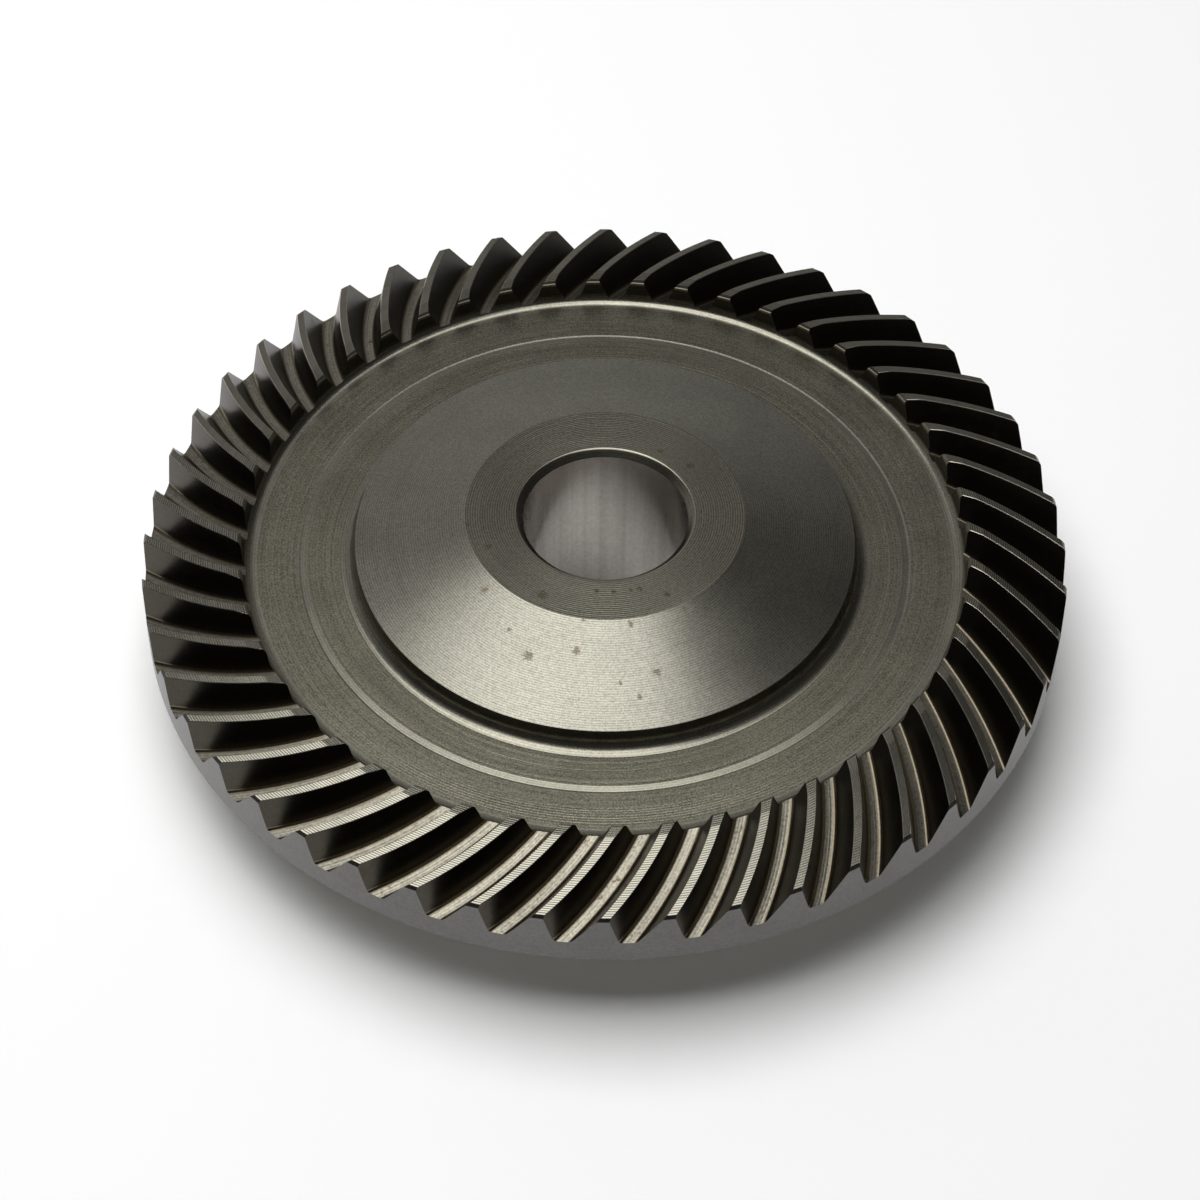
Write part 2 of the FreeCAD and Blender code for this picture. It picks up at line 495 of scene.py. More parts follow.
@dataclass
class ToothSpace:
    """One tooth space and the tooth beyond it, worked out as grids that share their edges.

    The turns are the spans, in radians, in which the cutter leaves each end of the teeth.
    """

    TOE_TURNS = (-0.3, 0.1)
    HEEL_TURNS = (-0.1, 0.4)
    ROUNDS = 30
    EDGE_SHARE = 0.03

    sizes: GearSizes
    blank: Blank
    mill: FaceMill
    flank_rows: int = 8
    facet_steps: int = 3
    face_steps: int = 17
    fillet_steps: int = 5
    land_steps: int = 3
    tooth_steps: int = 5
    skirt_rows: int = 8
    flanks: dict[int, Flank] = field(default_factory=dict)

    def cross(self, end: End, reach: Array, height: Array) -> Array:
        """Finds where points of the blade leave through one end of the teeth.

        Args:
            end: which end.
            reach: distances from the cutter's axis.
            height: heights above the root plane.

        Returns:
            The cutter's turns.
        """
        low, high = self.TOE_TURNS if end is End.TOE else self.HEEL_TURNS

        def gap(turn: Array) -> Array:
            """How far outside the end the points are."""
            spots = self.mill.path(reach, height, turn)
            return radius_of(spots) - self.blank.radius_at(end, spots[..., 2])

        return halve_down(gap, np.full_like(reach, low), np.full_like(reach, high))

    def tip_level(self, side: int, turn: Array) -> Array:
        """Height on a flank, above the root plane, at which it reaches the tips."""

        def gap(height: Array) -> Array:
            """How far above the tips the flank is."""
            spots = self.mill.flank_path(side, height, turn)
            return spots[..., 2] - self.sizes.tip_height(radius_of(spots))

        return halve_down(gap, np.zeros_like(turn), np.full_like(turn, 2 * self.sizes.tooth_depth))

    def end_corner(self, side: int, end: End) -> tuple[float, float]:
        """Where a flank, the tips and one end meet: the cutter's turn and the height there."""
        height = np.array([self.sizes.tooth_depth])
        for _ in range(self.ROUNDS):
            turn = self.cross(end, self.mill.flank_reach(side, height), height)
            height = self.tip_level(side, turn)
        return float(turn[0]), float(height[0])

    def level_at_end(self, side: int, end: End, world_height: float) -> float:
        """Height above the root plane at which a flank passes a world height on one end."""
        level = np.array([self.sizes.tooth_depth])
        axis = self.mill.frame()[3]
        for _ in range(self.ROUNDS):
            reach = self.mill.flank_reach(side, level)
            spot = self.mill.path(reach, level, self.cross(end, reach, level))
            level = level + (world_height - spot[..., 2]) / axis[2]
        return float(level[0])

    def facet_turn(self, side: int, low: float, high: float) -> float:
        """Turn at which a flank's tip edge crosses the outer edge of the facet."""

        def gap(turn: Array) -> Array:
            """How far outside the facet the tip edge is."""
            spots = self.mill.flank_path(side, self.tip_level(side, turn), turn)
            return radius_of(spots) - self.sizes.facet_radius

        return float(halve_down(gap, np.array([low]), np.array([high]))[0])

    def row_shares(self, foot: float, chamfer: float, lip: float, top: float) -> Array:
        """Shares of the way up one end of a flank at which its rows lie.

        The rows are even from the foot to the end's chamfer, with one more on the chamfer and
        the last just under the tip edge.
        """
        rows = foot + (chamfer - foot) * np.linspace(0.0, 1.0, self.flank_rows)
        return (np.append(rows, [lip, top - self.sizes.edge_break]) - foot) / (top - foot)

    def make_flank(self, side: int) -> Flank:
        """Works out one flank as rows that run along the tooth.

        A row's ends lie on the toe and heel ends, and between them the cutter's turn is shared
        out evenly. A row's height is a share of the way from the foot to the tip edge.

        Args:
            side: -1 for the flank nearer the cutter's axis and 1 for the other.

        Returns:
            The flank.
        """
        sizes = self.sizes
        foot = sizes.root_fillet * (1.0 - math.sin(self.mill.blade_angle(side)))
        toe_turn, toe_level = self.end_corner(side, End.TOE)
        heel_turn, heel_level = self.end_corner(side, End.HEEL)
        kink = self.facet_turn(side, toe_turn, heel_turn)
        on_facet = np.linspace(toe_turn, kink, self.facet_steps + 1)[:-1]
        tip_turn = np.concatenate([on_facet, np.linspace(kink, heel_turn, self.face_steps + 1)])
        share = (tip_turn - toe_turn) / (heel_turn - toe_turn)
        tip = self.tip_level(side, tip_turn)
        toe_chamfer = self.level_at_end(side, End.TOE, sizes.facet_height - sizes.toe_chamfer)
        toe_lip = self.level_at_end(side, End.TOE, sizes.toe_lip_height)
        heel_chamfer = self.level_at_end(side, End.HEEL, self.blank.heel_edge_height)
        toe_share = self.row_shares(foot, toe_chamfer, toe_lip, toe_level)
        heel_middle = (heel_chamfer + heel_level) / 2
        heel_share = self.row_shares(foot, heel_chamfer, heel_middle, heel_level)
        mixed = (1.0 - share)[None, :] * toe_share[:, None] + share[None, :] * heel_share[:, None]
        height = foot + mixed * (tip - foot)[None, :]
        toe_ends = self.cross(End.TOE, self.mill.flank_reach(side, height[:, 0]), height[:, 0])
        heel_ends = self.cross(End.HEEL, self.mill.flank_reach(side, height[:, -1]), height[:, -1])
        turn = toe_ends[:, None] + share[None, :] * (heel_ends - toe_ends)[:, None]
        edge = self.mill.flank_path(side, tip, tip_turn)
        return Flank(turn, height, radius_of(edge), azimuth_of(edge))

    def flank_points(self, side: int) -> Array:
        """The points of one flank, rows from the foot up and columns from toe to heel."""
        return self.mill.flank_path(side, self.flanks[side].height, self.flanks[side].turn)

    def space_grid(self) -> Grid:
        """The cut surface: one flank down, the root across and the other flank up.

        The UV place is the length along the cut and the blade's own outline, in millimetres.
        """
        reach, level = self.mill.root_profile(self.fillet_steps, self.land_steps)
        inner, outer = self.flanks[-1], self.flanks[1]
        toe_ends = self.cross(End.TOE, reach, level)
        heel_ends = self.cross(End.HEEL, reach, level)
        across = np.linspace(0.0, 1.0, len(reach))[:, None]
        inner_share, outer_share = (
            (feet - feet[0]) / (feet[-1] - feet[0]) for feet in (inner.turn[0], outer.turn[0])
        )
        share = (1.0 - across) * inner_share + across * outer_share
        turn = toe_ends[:, None] + share * (heel_ends - toe_ends)[:, None]
        all_turn = np.concatenate([inner.turn[:0:-1], turn, outer.turn[1:]])
        inner_reach = self.mill.flank_reach(-1, inner.height[:0:-1])
        outer_reach = self.mill.flank_reach(1, outer.height[1:])
        root_reach = np.broadcast_to(reach[:, None], turn.shape)
        root_level = np.broadcast_to(level[:, None], turn.shape)
        all_reach = np.concatenate([inner_reach, root_reach, outer_reach])
        all_level = np.concatenate([inner.height[:0:-1], root_level, outer.height[1:]])
        flank = [Zone.FLANK] * (len(inner.height) - 1)
        fillet = [Zone.FILLET] * self.fillet_steps
        land = [Zone.ROOT] * (len(reach) - 1 - 2 * self.fillet_steps)
        along = all_turn * self.sizes.cutter_radius
        beside = all_reach - self.sizes.cutter_radius
        climb = np.sign(beside) * np.hypot(beside, all_level)
        points = self.mill.path(all_reach, all_level, all_turn)
        uv = np.stack([along, climb], axis=-1)
        return Grid.by_rows(points, uv, flank + fillet + land + fillet + flank)

    def across_tooth(self) -> Array:
        """Shares of the way across a tooth, closer together beside its edges."""
        inside = np.linspace(0.0, 1.0, self.tooth_steps + 1)
        inside = np.clip(inside, self.EDGE_SHARE, 1.0 - self.EDGE_SHARE)
        return np.concatenate([[0.0], inside, [1.0]])

    def tip_grid(self) -> Grid:
        """The top land, with a narrow broken edge on both sides."""
        sizes = self.sizes
        first = self.flanks[1]
        last = self.flanks[-1]
        across = np.linspace(0.0, 1.0, self.tooth_steps + 1)[None, :]
        radius = first.edge_radius[:, None] * (1 - across) + last.edge_radius[:, None] * across
        start = first.edge_azimuth + sizes.edge_break / first.edge_radius
        end = last.edge_azimuth + sizes.pitch - sizes.edge_break / last.edge_radius
        azimuth = start[:, None] * (1 - across) + end[:, None] * across
        land = place(radius, azimuth, sizes.tip_height(radius))
        low_side = self.flank_points(1)[-1][:, None, :]
        high_side = turned(self.flank_points(-1)[-1], sizes.pitch)[:, None, :]
        points = np.concatenate([low_side, land, high_side], axis=1)
        zones = [Zone.EDGE] + [Zone.TIP] * self.tooth_steps + [Zone.EDGE]
        points = points.transpose(1, 0, 2)
        grid = Grid.by_rows(points, polar_uv(points), zones)
        grid.zones[1:-1, : self.facet_steps] = Zone.FACET.value
        return grid

    def end_grid(self, end: End) -> Grid:
        """The end of the tooth beyond the space, between its two flanks.

        Heights and azimuths are shared out evenly across the tooth, and the radius is that of
        the blank at each height.

        Args:
            end: which end.

        Returns:
            The grid, with rows from the tip down.
        """
        sizes = self.sizes
        low_side = self.flank_points(1)[::-1, end.value]
        high_side = self.flank_points(-1)[::-1, end.value]
        across = self.across_tooth()[None, :]
        height = low_side[:, 2:] * (1 - across) + high_side[:, 2:] * across
        start = azimuth_of(low_side)[:, None]
        finish = azimuth_of(high_side)[:, None] + sizes.pitch
        azimuth = start * (1 - across) + finish * across
        points = place(self.blank.radius_at(end, height), azimuth, height)
        points[0] = self.tip_grid().points[:, end.value]
        points[:, 0] = low_side
        points[:, -1] = turned(high_side, sizes.pitch)
        zones = [Zone.RIM] * (len(points) - 1)
        if end is End.TOE:
            zones = [Zone.EDGE, Zone.WALL, Zone.EDGE] + [Zone.WALL] * (len(points) - 4)
        return Grid.by_rows(points, polar_uv(points), zones)

    def foot_line(self, end: End) -> Array:
        """The lowest line of the teeth at one end, over one pitch, by rising azimuth."""
        space = self.space_grid().points[:, end.value]
        rows = len(self.flanks[1].height) - 1
        cut = space[rows : len(space) - rows]
        return np.concatenate([cut, self.end_grid(end).points[-1, 1:]])

    def skirt_grid(self, end: End) -> Grid:
        """The stretch of the blank from the lowest line of the teeth down to its outline's start.

        Each column runs along the outline, from the foot line's own place to the start.

        Args:
            end: which end of the teeth.

        Returns:
            The grid, with rows from the foot line down.
        """
        outline, first, zone = self.blank.heel, 0, Zone.RIM
        if end is End.TOE:
            outline, first, zone = self.blank.toe, 1, Zone.STEP
        foot = self.foot_line(end)
        reached = np.interp(foot[:, 2], outline.height[first:], outline.length[first:])
        share = np.linspace(1.0, 0.0, self.skirt_rows + 1)[:, None]
        length = reached[None, :] * share
        radius = np.interp(length, outline.length, outline.radius)
        height = np.interp(length, outline.length, outline.height)
        points = place(radius, azimuth_of_run(foot)[None, :], height)
        points[0] = foot
        return Grid.by_rows(points, polar_uv(points), [zone] * self.skirt_rows)

    def grids(self) -> list[Grid]:
        """Every grid of one pitch."""
        self.flanks = {side: self.make_flank(side) for side in (-1, 1)}
        ends = [make(end) for make in (self.end_grid, self.skirt_grid) for end in End]
        return [self.space_grid(), self.tip_grid(), *ends]


def turned(points: Array, angle: float) -> Array:
    """Points turned round the gear's axis by an angle in radians."""
    cosine, sine = math.cos(angle), math.sin(angle)
    x = points[..., 0] * cosine - points[..., 1] * sine
    y = points[..., 0] * sine + points[..., 1] * cosine
    return np.stack([x, y, points[..., 2]], axis=-1)


def azimuth_of_run(points: Array) -> Array:
    """Azimuths along a line of points, without a jump of a whole turn."""
    return np.unwrap(azimuth_of(points))


def polar_uv(points: Array) -> Array:
    """UV places from the azimuth in radians and the radius in millimetres."""
    return np.stack([azimuth_of(points), radius_of(points)], axis=-1)


class GearSkin:
    """The whole skin of the gear as one closed mesh."""

    PIECE = "gear_skin"
    SHARP_ANGLE = 14.5
    WELD = 1e-5
    CREASES = ((Zone.TIP, Zone.FACET), (Zone.WEB, Zone.STEP), (Zone.HUB_TOP, Zone.STEP))

    def __init__(self, sizes: GearSizes) -> None:
        """Prepares the blank and the tooth space.

        Args:
            sizes: the gear's sizes.
        """
        self.sizes = sizes
        self.blank = Blank(sizes)
        self.space = ToothSpace(sizes, self.blank, FaceMill(sizes))
        self.corners: list[Array] = []
        self.places: list[Array] = []
        self.zones: list[Array] = []

    def add_faces(self, corners: Array, places: Array, zones: Array) -> None:
        """Keeps a batch of quads.

        Args:
            corners: corner points, shaped faces by 4 by 3.
            places: corner UV places, shaped faces by 4 by 2.
            zones: the finish number of each face.
        """
        self.corners.append(corners)
        self.places.append(places)
        self.zones.append(zones)

    def add_grid(self, grid: Grid) -> None:
        """Adds the quads of a grid, repeated round the axis once for each tooth."""
        corners = quads_of(grid.points)
        places = quads_of(grid.uv)
        zones = grid.zones.ravel()
        for tooth in range(self.sizes.tooth_count):
            shifted = places + [tooth * self.sizes.outer_radius, 0.0]
            self.add_faces(turned(corners, tooth * self.sizes.pitch), shifted, zones)

    def add_body(self) -> None:
        """Adds the turned body, from the web through the bore to the rim's lower edge.

        Its columns start at the azimuths of the teeth's inner foot line, thinned to every second
        one, and swing over the underside to those of the outer foot line.
        """
        toe = self.full_turn(End.TOE)
        heel = self.full_turn(End.HEEL)
        outline = self.blank.body
        swing = np.zeros((len(outline.radius), 1))
        swing[-1] = 1.0
        azimuth = toe[None, ::2] * (1 - swing) + heel[None, ::2] * swing
        points = place(outline.radius[:, None], azimuth, outline.height[:, None])
        places = np.stack(np.broadcast_arrays(azimuth, outline.length[:, None]), axis=-1)
        next_points = np.roll(points, -1, axis=1)
        next_places = np.roll(places, -1, axis=1)
        next_places[:, -1, 0] += 2 * math.pi
        corners, spots = (
            np.stack([here[:-1], beside[:-1], beside[1:], here[1:]], axis=2)
            for here, beside in ((points, next_points), (places, next_places))
        )
        zones = np.repeat([zone.value for zone in outline.zones], points.shape[1])
        self.thin_ring(corners, spots, toe, 0)
        self.thin_ring(corners, spots, heel, -1)
        keep = slice(points.shape[1], len(zones) - points.shape[1])
        self.add_faces(corners.reshape(-1, 4, 3)[keep], spots.reshape(-1, 4, 2)[keep], zones[keep])

    def thin_ring(self, corners: Array, spots: Array, azimuth: Array, row: int) -> None:
        """Joins a ring of the body to a ring of the teeth with twice as many columns.

        Args:
            corners: the body's quads, rows by columns by 4 by 3.
            spots: their UV places.
            azimuth: the azimuths of the finer ring.
            row: 0 for the first row of quads and -1 for the last.
        """
        outline = self.blank.body
        between = place(outline.radius[row], azimuth[1::2], outline.height[row])
        order = range(4) if row == 0 else (3, 2, 1, 0)
        fine_start, fine_end, far_end, far_start = (corners[row][:, number] for number in order)
        zone = np.full(len(between), (Zone.WEB if row == 0 else Zone.BACK).value)
        for one, two, three in (
            (fine_start, between, far_start),
            (between, far_end, far_start),
            (between, fine_end, far_end),
        ):
            self.add_faces(np.stack([one, two, three, three], axis=1), spots[row], zone)

    def full_turn(self, end: End) -> Array:
        """Azimuths of the foot line all round the gear, for the toe or the heel."""
        line = azimuth_of_run(self.space.foot_line(end))[:-1]
        teeth = np.arange(self.sizes.tooth_count)[:, None] * self.sizes.pitch
        return (line[None, :] + teeth).ravel()

    def build(self) -> bpy.types.Object:
        """Welds every grid into one closed mesh with smooth faces and crisp edges.

        Returns:
            The new object, at the origin.
        """
        for grid in self.space.grids():
            self.add_grid(grid)
        self.add_body()
        parts = (np.concatenate(batch) for batch in (self.corners, self.places, self.zones))
        mesh = mesh_from_corners(self.PIECE, *parts, self.WELD)
        mesh.set_sharp_from_angle(angle=math.radians(self.SHARP_ANGLE))
        for one, other in self.CREASES:
            crease_between(mesh, one, other)
        skin = add_object(self.PIECE, mesh)
        weighting = skin.modifiers.new("even_normals", "WEIGHTED_NORMAL")
        weighting.keep_sharp = True
        weighting.weight = 50
        return skin


def add_object(name: str, data: bpy.types.ID) -> bpy.types.Object:
    """Puts a mesh, a lamp or a camera into the scene."""
    made = bpy.data.objects.new(name, data)
    bpy.context.scene.collection.objects.link(made)
    return made


def quads_of(values: Array) -> Array:
    """The four corners of each cell of a grid, shaped cells by 4 by the values' own size."""
    cells = np.stack([values[:-1, :-1], values[:-1, 1:], values[1:, 1:], values[1:, :-1]], axis=2)
    return cells.reshape(-1, 4, values.shape[-1])


def mesh_from_corners(
    name: str, corners: Array, places: Array, zones: Array, weld: float
) -> bpy.types.Mesh:
    """Builds a closed mesh from loose quads.

    Corners that lie within the weld distance become one vertex, a quad with two equal corners
    becomes a triangle, and all faces are turned outwards.

    Args:
        name: the mesh's name.
        corners: corner points in millimetres, shaped faces by 4 by 3.
        places: corner UV places, shaped faces by 4 by 2.
        zones: the finish number of each face.
        weld: the weld distance, in millimetres.

    Returns:
        The mesh, in metres.
    """
    keys = np.round(corners.reshape(-1, 3) / weld).astype(np.int64)
    _, first, index = np.unique(keys, axis=0, return_index=True, return_inverse=True)
    vertices = corners.reshape(-1, 3)[first] * MM
    faces = index.reshape(-1, 4)
    triangle = faces[:, 2] == faces[:, 3]
    sizes = np.where(triangle, 3, 4)
    mask = np.ones_like(faces, dtype=bool)
    mask[triangle, 3] = False
    mesh = bpy.data.meshes.new(name)
    mesh.vertices.add(len(vertices))
    mesh.vertices.foreach_set("co", vertices.astype(np.float32).ravel())
    mesh.loops.add(int(sizes.sum()))
    mesh.loops.foreach_set("vertex_index", faces[mask].astype(np.int32))
    mesh.polygons.add(len(faces))
    starts = np.concatenate([[0], np.cumsum(sizes)[:-1]])
    mesh.polygons.foreach_set("loop_start", starts.astype(np.int32))
    mesh.polygons.foreach_set("material_index", zones.astype(np.int32))
    layer = mesh.uv_layers.new(name="skin")
    layer.data.foreach_set("uv", places[mask].astype(np.float32).ravel())
    mesh.update(calc_edges=True)
    shell = bmesh.new()
    shell.from_mesh(mesh)
    bmesh.ops.recalc_face_normals(shell, faces=shell.faces)
    shell.to_mesh(mesh)
    shell.free()
    mesh.polygons.foreach_set("use_smooth", np.ones(len(mesh.polygons), dtype=bool))
    open_edges = np.count_nonzero(np.bincount(read_whole(mesh.loops, "edge_index")) != 2)
    triangles = len(mesh.loops) - 2 * len(mesh.polygons)
    LOG.info("%s: %d triangles, %d open edges", name, triangles, open_edges)
    return mesh


def read_whole(values: bpy.types.bpy_prop_collection, name: str) -> Array:
    """Reads one whole-number property of all of a mesh's faces or face corners."""
    numbers = np.empty(len(values), dtype=np.int32)
    values.foreach_get(name, numbers)
    return numbers


def crease_between(mesh: bpy.types.Mesh, one: Zone, other: Zone) -> None:
    """Makes the edges between two finishes crisp.

    Args:
        mesh: the mesh.
        one: a finish.
        other: the finish on the other side of the edges.
    """
    edges = read_whole(mesh.loops, "edge_index")
    finishes = read_whole(mesh.polygons, "material_index")
    corner_zones = np.repeat(finishes, read_whole(mesh.polygons, "loop_total"))
    low = np.full(len(mesh.edges), len(Zone))
    high = np.full(len(mesh.edges), -1)
    np.minimum.at(low, edges, corner_zones)
    np.maximum.at(high, edges, corner_zones)
    first, last = sorted([one.value, other.value])
    sharp = np.empty(len(mesh.edges), dtype=bool)
    mesh.edges.foreach_get("use_edge_sharp", sharp)
    mesh.edges.foreach_set("use_edge_sharp", sharp | ((low == first) & (high == last)))


@dataclass(frozen=True)
class SteelFinish:
    """How one surface of the steel is finished; lengths in millimetres, heights in micrometres. The
    colours of the flanks, toe walls and rim hold painted shade, and that of the edges a painted
    highlight.
    """

    colour: tuple[float, float, float]
    roughness: float
    run: MarkRun = MarkRun.ROUND_BY_RADIUS
    line_pitch: float = 0.2
    line_height: float = 1.0
    grain_size: float = 0.15
    grain_height: float = 1.0
    line_shade: float = 0.1
    line_regular: float = 0.3
    grain_shade: float = 0.1
    stain: tuple[float, float, float] = (0.14, 0.1, 0.06)
    stain_size: float = 0.8
    stain_cover: float = 0.0
    uneven: float = 0.02
    witness: tuple[float, ...] = ()
    specks: tuple[tuple[float, float, float], ...] = ()


# Brown specks on the hub's flat and on its cone: radius in mm, azimuth in degrees, width in mm
FLAT_SPECKS = (
    (9.84, 240.0, 0.5), (8.08, 264.9, 0.25), (8.18, 273.9, 0.22), (8.2, 283.5, 0.2),
    (8.24, 288.1, 0.25), (9.63, 299.1, 0.32), (8.06, 56.9, 0.3), (8.51, 37.2, 0.4),
    (9.78, 201.4, 0.4), (10.94, 186.7, 0.35),
)
CONE_SPECKS = (
    (11.4, 279.4, 0.3), (11.44, 301.8, 0.25), (12.1, 219.5, 0.35), (13.56, 237.0, 0.22),
    (13.58, 260.4, 0.38), (14.86, 246.4, 0.5), (15.51, 284.2, 0.35), (15.98, 273.6, 0.25),
    (17.2, 278.5, 0.25), (16.66, 169.3, 0.35),
)

# Radii of the deeper turning marks on the web
WEB_RINGS = (21.44, 21.54, 22.2, 23.27, 23.36, 25.72, 25.95, 26.15, 26.4, 26.62, 26.85, 27.1)

FINISHES_AND_PAINTED_LIGHT: dict[Zone, SteelFinish] = {
    Zone.BORE: SteelFinish(
        colour=(0.44, 0.41, 0.375), roughness=0.22, run=MarkRun.DOWN_BORE, uneven=0.03,
        line_pitch=0.9, line_height=4.0, line_shade=0.25, line_regular=0.0,
        grain_size=0.3, grain_height=0.6, stain_cover=0.05,
    ),
    Zone.HUB_TOP: SteelFinish(
        colour=(0.325, 0.308, 0.245), roughness=0.28,
        line_pitch=0.19, line_height=5.0, line_shade=0.36, line_regular=0.7,
        grain_size=0.2, grain_shade=0.25,
        stain=(0.15, 0.11, 0.07), stain_size=0.6, stain_cover=0.1, specks=FLAT_SPECKS,
    ),
    Zone.HUB_CONE: SteelFinish(
        colour=(0.41, 0.396, 0.33), roughness=0.3,
        line_pitch=0.19, line_height=1.6, line_shade=0.22, line_regular=0.6,
        grain_size=0.13, grain_height=1.2, grain_shade=0.3,
        stain=(0.29, 0.24, 0.17), stain_size=0.6, stain_cover=0.06, specks=CONE_SPECKS,
    ),
    Zone.WEB: SteelFinish(
        colour=(0.37, 0.351, 0.268), roughness=0.32,
        line_pitch=0.25, line_height=1.1, line_shade=0.24, line_regular=0.1,
        grain_size=0.13, grain_height=3.0, grain_shade=0.45,
        stain=(0.36, 0.32, 0.18), stain_size=0.35, stain_cover=0.12, witness=WEB_RINGS,
    ),
    Zone.STEP: SteelFinish(
        colour=(0.41, 0.392, 0.315), roughness=0.28, line_height=0.6, line_shade=0.2,
        grain_size=0.13, grain_height=1.2, grain_shade=0.25,
    ),
    Zone.TIP: SteelFinish(
        colour=(0.41, 0.39, 0.32), roughness=0.24,
        line_pitch=0.18, line_height=1.2, line_shade=0.65, line_regular=0.6,
        grain_height=0.5, grain_shade=0.05,
    ),
    Zone.FACET: SteelFinish(
        colour=(0.38, 0.362, 0.295), roughness=0.24,
        line_pitch=0.18, line_height=3.0, line_shade=0.6, line_regular=0.6,
        grain_height=0.4, grain_shade=0.05,
    ),
    # Painted shade: the flanks are coloured near black, far darker than the same steel elsewhere, for
    # the shade deep in the tooth spaces
    Zone.FLANK: SteelFinish(
        colour=(0.082, 0.074, 0.06), roughness=0.33, run=MarkRun.ALONG_TOOTH,
        line_pitch=0.3, line_height=0.8, line_regular=0.0,
        grain_shade=0.15, stain=(0.1, 0.07, 0.045), stain_cover=0.2,
    ),
    Zone.ROOT: SteelFinish(
        colour=(0.4, 0.375, 0.3), roughness=0.3, run=MarkRun.ALONG_TOOTH,
        line_pitch=0.22, line_height=5.0, line_shade=0.35, line_regular=0.15,
        grain_size=0.2, grain_height=3.0, grain_shade=0.3,
        stain=(0.2, 0.09, 0.05), stain_size=0.5, stain_cover=0.2,
    ),
    # Painted shade: the rim and heel ends are coloured darker than the other steel, for the shaded
    # floor that the outer face reflects
    Zone.RIM: SteelFinish(
        colour=(0.165, 0.158, 0.153), roughness=0.36, run=MarkRun.ROUND_BY_HEIGHT,
        line_pitch=0.25, grain_size=0.25, grain_shade=0.15,
    ),
    # Partly painted highlight: the broken edges and lips are coloured brighter than the rest of the
    # steel, besides catching the lamp through their lean
    Zone.EDGE: SteelFinish(
        colour=(0.6, 0.57, 0.48), roughness=0.3, run=MarkRun.ALONG_TOOTH, line_pitch=0.5,
    ),
    # Painted shade: the steep toe walls are coloured much darker than the steel around them, for the
    # shade on them
    Zone.WALL: SteelFinish(
        colour=(0.16, 0.145, 0.11), roughness=0.34, run=MarkRun.ROUND_BY_HEIGHT,
        line_pitch=0.3, line_height=0.5, grain_shade=0.15, stain_cover=0.2,
    ),
    Zone.FILLET: SteelFinish(
        colour=(0.24, 0.205, 0.145), roughness=0.3, run=MarkRun.ALONG_TOOTH,
        line_height=1.0, line_shade=0.2, line_regular=0.0, grain_shade=0.2,
    ),
    Zone.BACK: SteelFinish(
        colour=(0.34, 0.325, 0.26), roughness=0.38, line_pitch=0.3, line_height=1.6, stain_cover=0.2,
    ),
}


class ShaderSheet:
    """A node tree that is filled from left to right."""

    def __init__(self, tree: bpy.types.NodeTree) -> None:
        """Takes the tree and empties it."""
        self.tree = tree
        tree.nodes.clear()

    def node(self, kind: str, feeds: Feeds | None = None, **settings: object) -> bpy.types.Node:
        """Adds a node.

        Args:
            kind: the node's type.
            feeds: what goes into its inputs, by name or number: a socket to link or a value.
            settings: the node's properties, set before its inputs.

        Returns:
            The node.
        """
        made = self.tree.nodes.new(kind)
        for name, value in settings.items():
            setattr(made, name, value)
        made.location = (200 * len(self.tree.nodes), 0)
        for name, source in (feeds or {}).items():
            self.feed(source, made.inputs[name])
        return made

    def feed(self, source: object, target: Socket) -> None:
        """Links a socket, or sets a value, on an input socket."""
        if isinstance(source, Socket):
            self.tree.links.new(source, target)
        else:
            target.default_value = source

    def maths(self, operation: str, *values: object) -> Socket:
        """Works on sockets or numbers with a Math node and gives the result."""
        return self.node("ShaderNodeMath", dict(enumerate(values)), operation=operation).outputs[0]

    def noise(self, spot: object, scale: object, detail: float) -> Socket:
        """Adds a noise texture and gives its value."""
        feeds = {"Vector": spot, "Scale": scale, "Detail": detail}
        return self.node("ShaderNodeTexNoise", feeds, noise_dimensions="3D").outputs["Fac"]

    def ramp(self, value: object, low: object, high: object) -> Socket:
        """Maps a value smoothly from a span to 0..1."""
        feeds = {"Value": value, "From Min": low, "From Max": high}
        made = self.node("ShaderNodeMapRange", feeds, interpolation_type="SMOOTHSTEP")
        return made.outputs["Result"]

    def group(self, tree: bpy.types.NodeTree, feeds: Feeds) -> bpy.types.NodeOutputs:
        """Places a shared node group and gives its outputs."""
        return self.node("ShaderNodeGroup", feeds, node_tree=tree).outputs

    def parts(self, vector: Socket) -> bpy.types.NodeOutputs:
        """Takes a vector apart into X, Y and Z."""
        return self.node("ShaderNodeSeparateXYZ", {0: vector}).outputs

    def mixed(self, share: Socket, one: object, other: object) -> Socket:
        """Mixes two colours, from the one at 0 to the other at 1."""
        feeds = {"Factor": share, "A": one, "B": other}
        return self.node("ShaderNodeMix", feeds, data_type="RGBA").outputs["Result"]


def new_group(
    name: str, inputs: tuple[str, ...], outputs: tuple[str, ...]
) -> tuple[ShaderSheet, object, object]:
    """Starts a shader node group.

    Args:
        name: the group's name.
        inputs: names of what it takes; those in PLACE_SOCKETS are vectors and the rest numbers.
        outputs: names of the numbers that it puts out.

    Returns:
        The sheet, the outputs of its input node and the inputs of its output node.
    """
    tree = bpy.data.node_groups.new(name, "ShaderNodeTree")
    for socket in inputs:
        kind = "NodeSocketVector" if socket in PLACE_SOCKETS else "NodeSocketFloat"
        tree.interface.new_socket(name=socket, in_out="INPUT", socket_type=kind)
    for socket in outputs:
        tree.interface.new_socket(name=socket, in_out="OUTPUT", socket_type="NodeSocketFloat")
    sheet = ShaderSheet(tree)
    return sheet, sheet.node("NodeGroupInput").outputs, sheet.node("NodeGroupOutput").inputs


